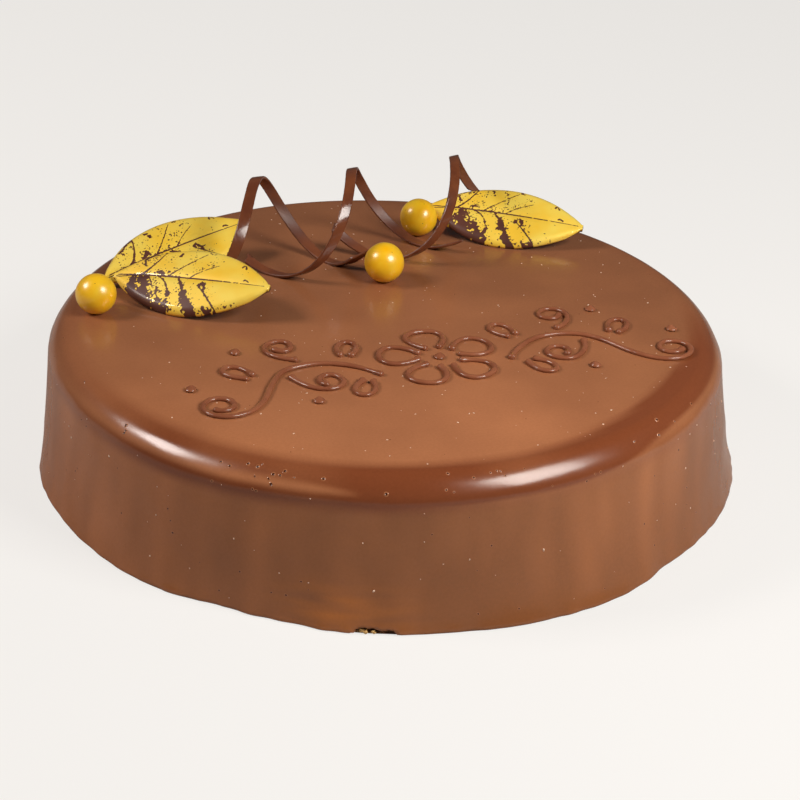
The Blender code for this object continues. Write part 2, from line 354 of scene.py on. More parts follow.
def chip_depth(points, degrees):
    """How deep the foot is broken away, in mm."""
    height = points[..., 2]
    edge = 0.8 * ripple(points, (2.6, 2.6, 2.6), 8)
    across = 1.0 - (np.abs(degrees - CHIP_ANGLE) / CHIP_HALF_WIDTH) ** 2 + edge
    below = 1.0 - height / (CHIP_HEIGHT * np.clip(across, 0.05, 1.0))
    return CHIP_DEPTH * between(below, 0.0, 0.5) * between(across, 0.0, 0.4)


# %% Its darker band along the edge, its slow tones, and painted light and shade
# Painted light on the side: painted shade where it is darker (-), and a painted reflection of the pale room
# where it is paler (+).
SIDE_PAINTED_SHADE_AND_REFLECTION = (                    # angle, half width, how much paler (+) or darker (-)
    (-103.0, 30.0, -0.65),
    (-45.0, 30.0, -0.8),
    (4.0, 17.0, 0.6),
    (2.0, 20.0, 0.5),
)


def edge_bands_and_painted_reflection(radius, height, degrees, points):
    """How dark the bands inside the edge and below it are, 0 to 1 and a little more: thin glaze, and a
    painted reflection of the darker room.
    """
    below = TOP - height
    uneven = 1.0 + 0.3 * ripple(points, (26.0, 26.0, 26.0), 11)
    front = between(degrees, -178.0, -140.0) * (1.0 - between(degrees, -32.0, -6.0))
    left = 1.0 - between(degrees, -112.0, -86.0)
    right = hump(degrees, -48.0, 24.0)
    # in front the inner band reaches over the turn of the rim
    over = 5.5 * np.exp(-((degrees + 88.0) / 26.0) ** 4)
    inner = between(radius + 4.0 * right, CAKE_RADIUS - 12.5, CAKE_RADIUS - 6.5)
    inner = inner * (1.0 - between(below, 1.6 + over, 4.0 + over))
    inner = inner * (0.2 + 0.7 * front + 0.6 * right * front)
    outer = between(below, 4.0, 6.5) * (1.0 - between(below, 8.0, 13.0)) * (0.3 + 0.7 * left)
    return (inner + outer * (0.3 + 0.7 * front)) * uneven


def top_tone_and_painted_light(points):
    """Slow tones and painted light of the top, about -1 to 1: painted light in front, painted shade at the
    back and front right.
    """
    front = between(-points[..., 1], -75.0, 105.0)
    right = between(points[..., 0], 10.0, 95.0)
    # painted light makes the front paler and painted shade makes the back and front right darker; the ripple
    # is the glaze's own drift
    return -0.6 + 1.2 * front - 0.95 * right * front + 0.25 * ripple(points, (40.0, 18.0, 40.0), 15)


def side_tone_and_painted_light(points, degrees):
    """Tones of the side, about -1 to 1: upright runs, painted shade and painted reflection by angle, and
    painted shade at the foot in front.
    """
    runs = 0.55 * ripple(points, (17.0, 17.0, 90.0), 12) + 0.45 * ripple(points, (7.0, 7.0, 34.0), 13)
    # painted shade in front and at the right, and a painted reflection at the right edge
    shade = sum(strength * hump(degrees, middle, half) for middle, half, strength in SIDE_PAINTED_SHADE_AND_REFLECTION)
    foot = between(TOP - points[..., 2], 18.0, 48.0)
    # painted shade: the foot is darker in front
    return runs + shade - 0.45 * foot * hump(degrees, -78.0, 42.0)


# %% Build the glaze
def glaze_rings():
    radius, height = cake_profile()
    angle = np.linspace(0.0, 2.0 * math.pi, AROUND, endpoint=False)
    radius = np.repeat(radius[:, None], AROUND, axis=1)
    height = np.repeat(height[:, None], AROUND, axis=1)
    degrees = turned(np.degrees(angle), 0.0)
    wave = 0.35 * np.sin(2.0 * angle + 0.8) + 0.25 * np.sin(5.0 * angle - 1.1)
    outer = between(radius, 0.80 * CAKE_RADIUS, 0.88 * CAKE_RADIUS)
    points = np.stack([radius * np.cos(angle), radius * np.sin(angle), height], axis=-1)
    # how far each point has turned from facing up to facing out, and back
    facing_out = between(TOP - height, 0.5, 9.0) * between(height, -0.1, 0.3)
    facing_up = 1.0 - between(TOP - height, 0.0, RIM_ROUNDING)
    lumps = side_lumps(points, degrees) * facing_out
    broken = chip_depth(points, degrees) * facing_out
    dent = np.exp(-height / FOOT_HEIGHT) * foot_dent(degrees)
    out = radius + outer * (wave - dent) + lumps - broken
    share = height / TOP
    hang = share ** 2 * between(radius, CAKE_RADIUS - 20.0, CAKE_RADIUS - 2.0) * rim_sag(degrees)
    up = height + facing_up * top_swell(points) - hang
    rings = np.stack([
        out * np.cos(angle) + outer * share * TOP_SHIFT[0],
        out * np.sin(angle) + outer * share * TOP_SHIFT[1],
        up], axis=-1)
    upright = between(TOP - height, 4.0, 12.0)
    # painted light and shade of the top and side, mixed with the glaze's own slow tones
    tone_and_painted_light = top_tone_and_painted_light(points) + upright * (side_tone_and_painted_light(points, degrees) - top_tone_and_painted_light(points))
    return rings, broken, edge_bands_and_painted_reflection(radius, height, degrees, points), upright, tone_and_painted_light


rings_of_glaze, broken_glaze, edge_glaze_and_painted_reflection, upright_glaze, glaze_tone_and_painted_light = glaze_rings()
print("glaze reaches", round(float(np.abs(rings_of_glaze[..., :2]).max()), 1), "mm out and",
      round(float(rings_of_glaze[..., 2].max()), 2), "mm up")

# %% [markdown]
# ## The poured glaze: its finish
#
# Boiled chocolate glaze is sugar syrup and chocolate worked until it grains. It
# sets with a satin skin: fine sugar grain blurs its reflections, though rim and
# side still catch a soft light. Its brown is warm and not quite even: slow
# tones drift over the top and the side. Light and shade are painted into it as
# well: the top has painted light in front and painted shade at the back and the
# front right, the side has painted shade in front, at the right and at its
# foot, and a painted reflection makes its right edge paler. The darker band
# along the edge is partly glaze run thin over the dark cake and partly a
# painted reflection of the darker room. All of it is drawn on the cake, so it
# stays in place from every side. Near the chip at the foot the glaze was wiped
# once more, which left a paler, streaky patch.

# %% Glaze material
GLAZE_DEEP = "#9e6543"
GLAZE_WARM = "#aa6e49"
GLAZE_SIDE = "#a8683e"
GLAZE_THIN_EDGE_AND_PAINTED_REFLECTION = "#7d4327"
# The dark of glaze run thin over the edge, and a painted reflection of the darker room.
GLAZE_WIPED = "#b0682f"
CRUMB_DARK = "#57331c"
SMEAR_ANGLE = -115.0


def smear_mask(rings):
    """Where the glaze above the chip was wiped over, 0 to 1."""
    degrees = np.degrees(np.arctan2(rings[..., 1], rings[..., 0]))
    across = hump(degrees, SMEAR_ANGLE, 9.0)
    up = hump(rings[..., 2], 8.0, 7.0)
    streaks = 0.5 + 0.9 * ripple(rings, (16.0, 16.0, 2.4), 9)
    foot_line = hump(degrees, SMEAR_ANGLE + 2.0, 11.0) * np.exp(-rings[..., 2] / 1.4)
    return np.clip(across * up * streaks + foot_line, 0.0, 1.0)


def glaze_material():
    material, tree, shader, place = start_material("boiled_chocolate_glaze_poured_and_set")
    painted = {}
    for name in ("upright", "tone_and_painted_light", "edge", "smear", "broken"):
        painted[name] = add(tree, "Attribute", attribute_name=name).outputs["Fac"]
    brown, _ = two_tones(tree, place, 38.0, GLAZE_DEEP, GLAZE_WARM)
    layered = add(tree, "MixRGB", {"Fac": painted["upright"], "Color1": brown, "Color2": linear(GLAZE_SIDE)})
    # painted light and shade: the tone attribute lightens or darkens the brown, along with the glaze's own
    # slow tones
    shade = add(tree, "MapRange", {
        "Value": painted["tone_and_painted_light"], "From Min": -1.0, "From Max": 1.0, "To Min": 0.66, "To Max": 1.24})
    toned_with_painted_light = add(tree, "VectorMath", {0: layered, 1: shade}, operation="MULTIPLY")
    # the band along the edge: thin glaze, and a painted reflection of the darker room
    banded_with_painted_reflection = add(tree, "MixRGB", {"Fac": painted["edge"], "Color1": toned_with_painted_light, "Color2": linear(GLAZE_THIN_EDGE_AND_PAINTED_REFLECTION)})
    wiped = add(tree, "MixRGB", {"Fac": painted["smear"], "Color1": banded_with_painted_reflection, "Color2": linear(GLAZE_WIPED)})
    grain = add(tree, "TexNoise", {"Vector": place, "Scale": per_metre(0.9), "Detail": 2.0})
    speckle = add(tree, "MapRange", {
        "Value": grain, "From Min": 0.25, "From Max": 0.75, "To Min": 0.95, "To Max": 1.05})
    grained = add(tree, "VectorMath", {0: wiped, 1: speckle}, operation="MULTIPLY")
    colour = add(tree, "MixRGB", {"Fac": painted["broken"], "Color1": grained, "Color2": linear(CRUMB_DARK)})
    patches = add(tree, "TexNoise", {"Vector": place, "Scale": per_metre(17.0), "Detail": 4.0})
    satin = add(tree, "MapRange", {
        "Value": patches, "From Min": 0.3, "From Max": 0.7, "To Min": 0.17, "To Max": 0.25})
    roughness = add(tree, "Math", {0: painted["broken"], 1: 0.4, 2: satin}, operation="MULTIPLY_ADD")
    fine = add(tree, "TexNoise", {"Vector": place, "Scale": per_metre(2.2), "Detail": 3.0})
    skin_bump = add(tree, "Bump", {"Height": fine, "Strength": 0.25, "Distance": 0.05 * MM})
    feed(tree, shader, {
        "Base Color": colour,
        "Roughness": roughness,
        "Normal": skin_bump,
        "IOR": 1.47,
    })
    return material


glaze_mesh = skin("poured_glaze", rings_of_glaze)
paint(glaze_mesh, "smear", smear_mask(rings_of_glaze))
paint(glaze_mesh, "broken", between(broken_glaze, 0.2, 1.2))
# the band along the edge: thin glaze, and a painted reflection of the darker room
paint(glaze_mesh, "edge", np.clip(edge_glaze_and_painted_reflection, 0.0, 1.0))
paint(glaze_mesh, "upright", upright_glaze)
paint(glaze_mesh, "tone_and_painted_light", glaze_tone_and_painted_light)
make_object(glaze_mesh, glaze_material(), ["glazed_cake"])

# %% [markdown]
# ## Sugar pearls
#
# The three balls are sugar pearls tumbled in gold lustre powder. Lustre is mica
# dust: it glows over a wide area like satin metal, and a thin shellac glaze on
# top adds one small, sharper spot. A sphere with a slight unevenness is enough
# for the shape, since the tumbling drum makes them nearly perfect.

# %% Pearl material
def lustre_material():
    material, tree, shader, place = start_material("gold_lustred_sugar_tumbled")
    gold, clouds = two_tones(tree, place, 6.0, "#ffbd08", "#ffd029", detail=4.0, low=0.3)
    dots = add(tree, "TexVoronoi", {"Vector": place, "Scale": per_metre(3.4)})
    dark = add(tree, "MapRange", {
        "Value": dots, "From Min": 0.035, "From Max": 0.075, "To Min": 0.85, "To Max": 0.0})
    speckled = add(tree, "MixRGB", {"Fac": dark, "Color1": gold, "Color2": linear("#6b4a10")})
    dust = add(tree, "TexNoise", {"Vector": place, "Scale": per_metre(0.5), "Detail": 2.0})
    bump = add(tree, "Bump", {"Height": dust, "Strength": 0.2, "Distance": 0.03 * MM})
    roughness = add(tree, "MapRange", {
        "Value": clouds, "From Min": 0.3, "From Max": 0.7, "To Min": 0.36, "To Max": 0.44})
    feed(tree, shader, {
        "Base Color": speckled,
        "Roughness": roughness,
        "Normal": bump,
        "IOR": 1.5,
        "Specular IOR Level": 0.25,
        "Coat Weight": 0.9,
        "Coat Roughness": 0.25,
        "Coat IOR": 1.65,
    })
    return material


# %% Make the pearls
PEARL_SEGMENTS = 72
PEARL_UNEVENNESS = 0.012
PEARL_FLAT = 0.985                # its underside is flat from this share of its radius down
PEARL_SEAT = 0.97                 # how many radii its middle stands above the glaze
TOUCH_GAP = 0.3                   # the CAD solids stand this far off the cake


def surface_height(x, y):
    """Height of the glazed top at a place, in mm."""
    places = np.stack(np.broadcast_arrays(x, y, TOP), axis=-1).astype(float)
    return TOP + top_swell(places)


def make_pearl(node, seed, material):
    low, high = (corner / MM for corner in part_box(node))
    centre = 0.5 * (low + high)
    radius = 0.5 * (high.z - low.z)
    mesh = bpy.data.meshes.new(f"sugar_{node}")
    ball = bmesh.new()
    bmesh.ops.create_uvsphere(ball, u_segments=PEARL_SEGMENTS, v_segments=PEARL_SEGMENTS // 2, radius=1.0)
    ground = float(surface_height(centre.x, centre.y))
    for vertex in ball.verts:
        lump = 1.0 + PEARL_UNEVENNESS * noise.noise(1.7 * vertex.co + Vector((seed, 0.0, 0.0)))
        spot = vertex.co * radius * lump
        spot.z = max(spot.z, -PEARL_FLAT * radius)
        vertex.co = (Vector((centre.x, centre.y, ground + PEARL_SEAT * radius)) + spot) * MM
    ball.to_mesh(mesh)
    ball.free()
    mesh.shade_smooth()
    make_object(mesh, material, [node])


lustre = lustre_material()
for seed, node in enumerate(("pearl_left", "pearl_middle", "pearl_right")):
    make_pearl(node, 3.0 * seed, lustre)

# %% [markdown]
# ## Chocolate curls
#
# A curl is tempered dark chocolate spread thin on a strip of film, combed into
# bands and rolled while it still bends. The film side comes out glossy and the
# edges stay slightly ragged. The band is one small rounded cross-section
# repeated along a helix that lies on its side, so its width, its thickness and
# the little waves of its edges are all under control.

# %% Curl material
def tempered_material():
    material, tree, shader, place = start_material("dark_chocolate_tempered_on_film")
    brown, _ = two_tones(tree, place, 7.0, "#643624", "#774329", detail=4.0)
    scuffs = add(tree, "TexNoise", {"Vector": place, "Scale": per_metre(0.8), "Detail": 3.0})
    gloss = add(tree, "MapRange", {
        "Value": scuffs, "From Min": 0.35, "From Max": 0.7, "To Min": 0.11, "To Max": 0.2})
    inner = add(tree, "Attribute", attribute_name="inner").outputs["Fac"]
    matt = add(tree, "Math", {0: inner, 1: 0.27, 2: gloss}, operation="MULTIPLY_ADD")
    bump = add(tree, "Bump", {"Height": scuffs, "Strength": 0.35, "Distance": 0.05 * MM})
    feed(tree, shader, {
        "Base Color": brown,
        "Roughness": matt,
        "Normal": bump,
        "IOR": 1.5,
    })
    return material


# %% Make the curls
BAND_WIDTH = 4.5                  # along the curl's axis
BAND_THICKNESS = 1.0
BAND_CROWN = 0.05
BAND_CUT = 3.4                    # how far the slanted cut at each end runs
BAND_STEPS_PER_TURN = 190
CURL_SINK = 0.05                  # how far its lowest point sinks into the glaze
CURLS = {
    # x, y of its lowest point, axis angle, pitch, radius, how many degrees its
    # upper half leans back, first and last turn.
    "curl_left": (-59.2, 53.8, 1.5, 53.0, 15.6, 18.0, 0.06, 1.16),
    "curl_middle": (-29.4, 45.3, 10.0, 63.9, 16.9, 3.5, -0.12, 1.12),
    "curl_right": (13.8, 49.7, 15.8, 67.8, 15.8, 6.0, -0.20, 0.82),
}


def band_section(width, thickness):
    """The band's cross-section as (across, out) pairs: flat faces and round corners."""
    corner = 0.34 * thickness
    pairs = []
    for side, turn in ((1, 0.0), (-1, 90.0), (-1, 180.0), (1, 270.0)):
        up = 1 if turn < 180.0 else -1
        for step in range(4):
            angle = math.radians(turn + 30.0 * step)
            across = side * (0.5 * width - corner) + corner * math.cos(angle)
            out = up * (0.5 * thickness - corner) + corner * math.sin(angle)
            pairs.append((across, out + BAND_CROWN * (1.0 - (2.0 * across / width) ** 2)))
        for share in (0.41, 0.2, 0.0, -0.2, -0.41):
            if side != up:
                continue
            across = up * share * width
            pairs.append((across, up * 0.5 * thickness + BAND_CROWN * (1.0 - (2.0 * across / width) ** 2)))
    return np.array(pairs)


def curl_rings(pitch, radius, lean, first, last, seed):
    """Cross-sections along a leaning helix whose axis is the curl's own X."""
    count = round(BAND_STEPS_PER_TURN * (last - first))
    turns = np.linspace(first, last, count)
    length = (turns - first) * math.hypot(pitch, 2.0 * math.pi * radius)
    rings = []
    for turn, walked in zip(turns, length):
        ends = min(walked, length[-1] - walked)
        cut = min(1.0, 0.07 + 0.93 * ends / BAND_CUT)
        width = BAND_WIDTH * (1.0 + 0.06 * noise.noise((0.11 * walked, seed, 0.0)))
        sway = 0.3 * noise.noise((0.035 * walked, seed, 5.0))
        section = band_section(width * cut, BAND_THICKNESS * (0.6 + 0.4 * cut))
        edge = np.sign(section[:, 0])
        nibble = 0.07 * np.array([noise.noise((0.9 * walked, seed, 2.0 * which)) for which in edge])
        across = section[:, 0] + nibble * edge + 0.5 * width * (1.0 - cut)
        reach = radius + sway + section[:, 1]
        angle = 2.0 * math.pi * turn
        up = -reach * math.cos(angle)
        back = -reach * math.sin(angle) + math.tan(math.radians(lean)) * up
        rings.append(np.stack([pitch * turn + across, back, up], axis=-1))
    return np.array(rings)


def make_curl(node, seed, x, y, axis_angle, pitch, radius, lean, first, last, material):
    rings = curl_rings(pitch, radius, lean, first, last, seed)
    turn = np.array(Matrix.Rotation(math.radians(axis_angle), 3, "Z"))
    rings = rings @ turn.T + np.array([x, y, 0.0])
    rings[..., 2] += float(surface_height(x, y)) - CURL_SINK - rings[..., 2].min()
    mesh = skin(f"chocolate_{node}", rings)
    inner = (band_section(BAND_WIDTH, BAND_THICKNESS)[:, 1] < 0.0).astype(float)
    paint(mesh, "inner", np.tile(inner, len(rings)))
    make_object(mesh, material, [node])


tempered = tempered_material()
for seed, (node, shape) in enumerate(CURLS.items()):
    make_curl(node, 11.3 * seed + 4.0, *shape, tempered)

# %% [markdown]
# ## Gold-printed leaves: the shape
#
# The leaves are dark chocolate cast in a plastic leaf mould. The mould gives
# them two bulging halves with a groove for the midrib, a rounded edge and a
# flat back. Every point has a place along the leaf, from stem to tip, and a
# place across it, so the outline, the bulge and the groove are short formulas,
# and the print can later be drawn in the same two coordinates.

# %% Leaf surface
LEAF_LENGTH = 61.0
LEAF_WIDTH = 29.0
LEAF_THICKNESS = 1.8
LEAF_ARCH = 1.8                   # how far its long edges bend down
LEAF_BOW = 1.5                    # how far its middle stands above stem and tip
LEAF_STEM_BEND = 0.5              # how far the stem's end bends down besides
LEAF_MIDRIB = 0.5                 # depth of the groove down its middle
LEAF_FULLNESS = 0.72              # 1 is a plain sine outline, less is fuller
LEAF_STEM_WIDTH = 2.4
LEAF_EDGE_ROUNDING = 2.9
LEAF_EDGE_DROP = 2.1
LEAF_ROWS = 300
LEAF_COLUMNS = 120
LEAVES = {  # x, y of the stem, then yaw, pitch and roll in degrees
    "leaf_front": (-89.0, 46.5, -40.0, 5.7, 30.0),
    "leaf_back": (-91.5, 49.8, 17.2, 8.0, 23.0),
    "leaf_right": (41.8, 74.4, -35.1, -0.7, 26.7),
}


def leaf_half_width(along):
    outline = np.sin(math.pi * np.clip(along, 0.0, 1.0)) ** LEAF_FULLNESS
    return np.maximum(0.5 * LEAF_WIDTH * outline, 0.5 * LEAF_STEM_WIDTH), outline


def leaf_arch(along, side):
    """The bend down to both long edges; near the stem the leaf is flatter."""
    return -LEAF_ARCH * (0.4 + 0.6 * between(along, 0.06, 0.4)) * (side / (0.5 * LEAF_WIDTH)) ** 2


def leaf_bow(along):
    return LEAF_BOW * 4.0 * along * (1.0 - along) - LEAF_STEM_BEND * np.exp(-along / 0.09)


def leaf_top(along, across):
    """The printed face in mm: along runs 0 to 1 and across -1 to 1."""
    half, outline = leaf_half_width(along)
    side = half * across
    arch = leaf_arch(along, side)
    bow = leaf_bow(along)
    groove = -LEAF_MIDRIB * np.exp(-(np.abs(side) / 1.3) ** 1.4) * outline
    rounding = np.minimum(LEAF_EDGE_ROUNDING, 0.8 * half)
    inset = np.clip((np.abs(side) - half + rounding) / rounding, 0.0, 1.0)
    edge = -LEAF_EDGE_DROP * np.minimum(1.0, half / 6.0) * (1.0 - np.sqrt(1.0 - inset ** 2))
    return np.stack(np.broadcast_arrays(along * LEAF_LENGTH, side, arch + bow + groove + edge), axis=-1)


def leaf_rings():
    """Closed cross-sections from stem to tip, and the two coordinates of each point."""
    even = np.linspace(0.0, 1.0, LEAF_ROWS)
    along = even - 0.055 * np.sin(2.0 * math.pi * even)
    along = along[:, None]
    over = np.sin(0.5 * math.pi * np.linspace(-1.0, 1.0, LEAF_COLUMNS))
    over = 0.5 * over + 0.5 * np.linspace(-1.0, 1.0, LEAF_COLUMNS)
    under = np.linspace(1.0, -1.0, 26)[1:-1]
    top = leaf_top(along, over[None, :])
    half, _ = leaf_half_width(along)
    flat_side = 0.95 * half * under[None, :]
    flat_height = leaf_arch(along, flat_side) + leaf_bow(along) - LEAF_THICKNESS
    back = np.stack(np.broadcast_arrays(along * LEAF_LENGTH, flat_side, flat_height), axis=-1)
    rings = np.concatenate([top, back], axis=1)
    along_all = np.broadcast_to(along, rings.shape[:2])
    across_all = np.concatenate([over, np.full(under.size, np.nan)])[None, :].repeat(LEAF_ROWS, axis=0)
    return rings, along_all, across_all


# %% [markdown]
# ## Gold-printed leaves: the print
#
# The gold is coloured cocoa butter, printed on a sheet and melted onto the
# leaf. Where the ink didn't take, the dark chocolate shows: along the midrib
# and the side veins, in a ragged patch near the stem and in a torn stripe. Each
# of these is a stroke with a width that changes along it. How far a point lies
# inside a stroke, roughened by noise, says how much chocolate shows there.

# %% Draw the worn print
# Each stroke: points (along, across), width in mm at both ends, how ragged.
PRINT_STROKES = (
    # midrib, and its fading end
    (((0.03, 0.02), (0.20, 0.01), (0.46, 0.0)), 0.50, 0.95, 0.35),
    (((0.46, 0.0), (0.60, 0.0), (0.76, 0.0)), 0.85, 0.40, 0.45),
    (((0.76, 0.0), (0.88, 0.0), (0.97, 0.0)), 0.36, 0.26, 0.60),
    (((0.02, -0.35), (0.10, -0.08), (0.18, -0.03)), 0.50, 0.40, 0.5),
    # side veins of the upper half
    (((0.175, 0.0), (0.235, 0.33), (0.290, 0.90)), 1.0, 0.55, 0.35),
    (((0.355, 0.0), (0.445, 0.34), (0.550, 0.80)), 0.60, 0.38, 0.55),
    (((0.500, 0.0), (0.560, 0.20), (0.660, 0.50)), 0.50, 0.34, 0.80),
    # veins of the lower half
    (((0.235, 0.0), (0.260, -0.18), (0.290, -0.42)), 0.55, 0.65, 0.6),
    (((0.285, 0.0), (0.350, -0.16), (0.400, -0.50)), 0.60, 0.75, 0.7),
    (((0.590, -0.28), (0.650, -0.55), (0.720, -0.97)), 0.60, 0.75, 0.4),
    # the ragged patch: its dense left border, its heart, its foot, its right border
    (((0.140, -0.10), (0.145, -0.45), (0.185, -0.95)), 2.6, 4.2, 0.8),
    (((0.215, -0.20), (0.230, -0.55), (0.270, -1.0)), 4.4, 9.5, 0.9),
    (((0.180, -0.94), (0.290, -0.90), (0.390, -0.97)), 3.6, 4.0, 0.9),
    (((0.320, -0.50), (0.345, -0.72), (0.375, -0.95)), 2.2, 4.6, 1.5),
    (((0.392, -0.40), (0.402, -0.66), (0.385, -0.96)), 1.2, 2.2, 1.4),
    # the torn stripe
    (((0.440, -0.06), (0.465, -0.20), (0.495, -0.36)), 0.9, 1.6, 1.2),
    (((0.480, -0.28), (0.520, -0.60), (0.580, -1.0)), 2.3, 4.4, 0.8),
    # torn outline along the upper edge near the stem
    (((0.165, 0.80), (0.220, 0.88), (0.290, 0.97)), 0.9, 1.5, 1.2),
    (((0.175, 0.70), (0.185, 0.50), (0.200, 0.40)), 0.80, 0.60, 1.2),
    # crumbs of bare chocolate
    (((0.270, 0.10), (0.300, 0.14), (0.325, 0.09)), 1.4, 1.0, 1.6),
    (((0.385, 0.80), (0.392, 0.70), (0.398, 0.62)), 1.3, 0.9, 1.4),
    (((0.560, 0.90), (0.575, 0.84), (0.600, 0.86)), 1.1, 0.8, 1.3),
    (((0.800, 0.70), (0.812, 0.84), (0.828, 0.70)), 0.7, 0.7, 0.6),
    (((0.840, 0.14), (0.852, 0.18), (0.870, 0.10)), 0.7, 0.5, 0.8),
    (((0.580, -0.24), (0.606, -0.16), (0.626, -0.36)), 1.1, 1.2, 1.4),
    (((0.650, -0.88), (0.670, -0.97), (0.720, -1.0)), 1.3, 1.8, 1.3),
)
# Clouds of fine flecks: points as above, width in mm at both ends.
PRINT_FLECKS = (
    (((0.17, 0.62), (0.24, 0.70), (0.33, 0.60)), 8.0, 5.0),
    (((0.22, 0.12), (0.33, 0.16), (0.46, 0.10)), 5.0, 4.0),
    (((0.47, 0.80), (0.50, 0.40), (0.47, 0.06)), 2.6, 3.0),
    (((0.48, 0.10), (0.56, 0.34), (0.64, 0.62)), 4.5, 3.5),
    (((0.27, -0.30), (0.34, -0.45), (0.42, -0.70)), 8.0, 7.0),
    (((0.44, -0.06), (0.50, -0.40), (0.56, -0.95)), 5.0, 6.5),
    (((0.13, -0.15), (0.13, -0.50), (0.15, -0.90)), 3.5, 5.0),
    (((0.58, -0.20), (0.62, -0.30), (0.66, -0.50)), 4.0, 3.5),
    (((0.62, -0.95), (0.72, -0.94), (0.82, -0.96)), 2.4, 2.0),
)
STROKE_STEPS = 14


def stroke_inside(along, across, stroke):
    """How far each point lies inside one stroke: 1 on its line, 0 at its plain edge."""
    (start, middle, end), width_from, width_to = stroke
    share = np.linspace(0.0, 1.0, STROKE_STEPS)[:, None]
    start, middle, end = (np.array(place) for place in (start, middle, end))
    # a bow through all three places
    bow = 2.0 * middle - 0.5 * (start + end)
    line = (1.0 - share) ** 2 * start + 2.0 * share * (1.0 - share) * bow + share ** 2 * end
    line_x = line[:, 0] * LEAF_LENGTH
    line_y = line[:, 1] * leaf_half_width(line[:, 0])[0]
    width = np.linspace(width_from, width_to, STROKE_STEPS)
    x = along * LEAF_LENGTH
    y = across * leaf_half_width(along)[0]
    inside = np.full(x.shape, -9.0)
    for i in range(STROKE_STEPS - 1):
        run_x, run_y = line_x[i + 1] - line_x[i], line_y[i + 1] - line_y[i]
        walked = ((x - line_x[i]) * run_x + (y - line_y[i]) * run_y) / (run_x ** 2 + run_y ** 2)
        walked = np.clip(walked, 0.0, 1.0)
        away = np.hypot(x - line_x[i] - walked * run_x, y - line_y[i] - walked * run_y)
        half = 0.5 * (width[i] + walked * (width[i + 1] - width[i]))
        inside = np.maximum(inside, 1.0 - away / half)
    return inside


def bare_chocolate(along, across, seed):
    """How much chocolate shows through the gold at each point, 0 to 1."""
    across = np.nan_to_num(across, nan=0.0)
    flat = np.stack([along * LEAF_LENGTH, across * leaf_half_width(along)[0], 0.0 * along], axis=-1)
    coarse = ripple(flat, (2.1, 2.1, 2.1), seed)
    fine = ripple(flat, (0.85, 0.85, 0.85), seed + 0.37)
    tear = 0.9 * coarse + 1.0 * fine
    shown = np.zeros(along.shape)
    for *stroke, ragged in PRINT_STROKES:
        inside = stroke_inside(along, across, stroke)
        shown = np.maximum(shown, between(inside + ragged * tear, 0.0, 0.28))
    fleck = ripple(flat, (0.6, 0.6, 0.6), seed + 1.13) + 0.3 * ripple(flat, (2.6, 2.6, 2.6), seed + 0.7)
    for cloud in PRINT_FLECKS:
        inside = np.clip(stroke_inside(along, across, cloud), -1.0, 1.0)
        shown = np.maximum(shown, between(0.5 * inside + 2.1 * fleck, 0.93, 1.17))
    return shown


# %% Leaf material
def leaf_material():
    material, tree, shader, place = start_material("gold_cocoa_butter_print_on_moulded_chocolate")
    bare = add(tree, "Attribute", attribute_name="bare").outputs["Fac"]
    fray = add(tree, "TexNoise", {"Vector": place, "Scale": per_metre(0.45), "Detail": 3.0})
    frayed = add(tree, "Math", {0: fray, 1: 0.5, 2: -0.25}, operation="MULTIPLY_ADD")
    worn = add(tree, "Math", {0: bare, 1: frayed})
    shown = add(tree, "MapRange", {"Value": worn, "From Min": 0.38, "From Max": 0.62})
    gold, _ = two_tones(tree, place, 13.0, "#ffd03a", "#ffe15e", detail=2.0)
    chocolate, _ = two_tones(tree, place, 13.0, "#4f2a22", "#62382c", detail=2.0)
    colour = add(tree, "MixRGB", {"Fac": shown, "Color1": gold, "Color2": chocolate})
    metal = add(tree, "MapRange", {"Value": shown, "To Min": 0.12, "To Max": 0.0})
    mist = add(tree, "TexNoise", {"Vector": place, "Scale": per_metre(5.0), "Detail": 3.0})
    satin = add(tree, "MapRange", {
        "Value": mist, "From Min": 0.3, "From Max": 0.7, "To Min": 0.46, "To Max": 0.56})
    shine = add(tree, "MapRange", {"Value": shown, "To Min": 1.0, "To Max": 0.12})
    ink = add(tree, "Bump", {"Height": shown, "Strength": 0.4, "Distance": -0.05 * MM})
    feed(tree, shader, {
        "Base Color": colour,
        "Metallic": metal,
        "Roughness": satin,
        "Normal": ink,
        "IOR": 1.47,
        "Coat Weight": shine,
        "Coat Roughness": 0.07,
        "Coat IOR": 1.48,
    })
    return material


# %% Make the leaves
def leaf_pose(yaw, pitch, roll):
    turn = Matrix.Rotation(math.radians(yaw), 3, "Z")
    turn = turn @ Matrix.Rotation(math.radians(-pitch), 3, "Y")
    return np.array(turn @ Matrix.Rotation(math.radians(roll), 3, "X"))


def make_leaf(node, seed, x, y, yaw, pitch, roll, material):
    rings, along, across = leaf_rings()
    bare = bare_chocolate(along, across, seed)
    bare[np.isnan(across)] = 1.0
    turned = rings @ leaf_pose(yaw, pitch, roll).T + np.array([x, y, 0.0])
    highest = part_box(node)[1].z / MM
    turned[..., 2] += highest - TOUCH_GAP - turned[..., 2].max()
    mesh = skin(f"chocolate_{node}", turned)
    paint(mesh, "bare", bare)
    make_object(mesh, material, [node])


gold_print = leaf_material()
for seed, (node, pose) in enumerate(LEAVES.items()):
    make_leaf(node, 1.9 * seed + 2.0, *pose, gold_print)

# %% [markdown]
# ## Piped flower and vines
#
# The drawing on top is melted chocolate piped from a paper cone. The hand sets
# down with a small blob, moves on, speeds up on the straights so the line gets
# thinner, and stops with a drop. The line is round on top and pinched in where
# it meets the glaze, which draws a thin dark edge along both its sides. Each
# stroke follows the CAD route, with a little tremble added.

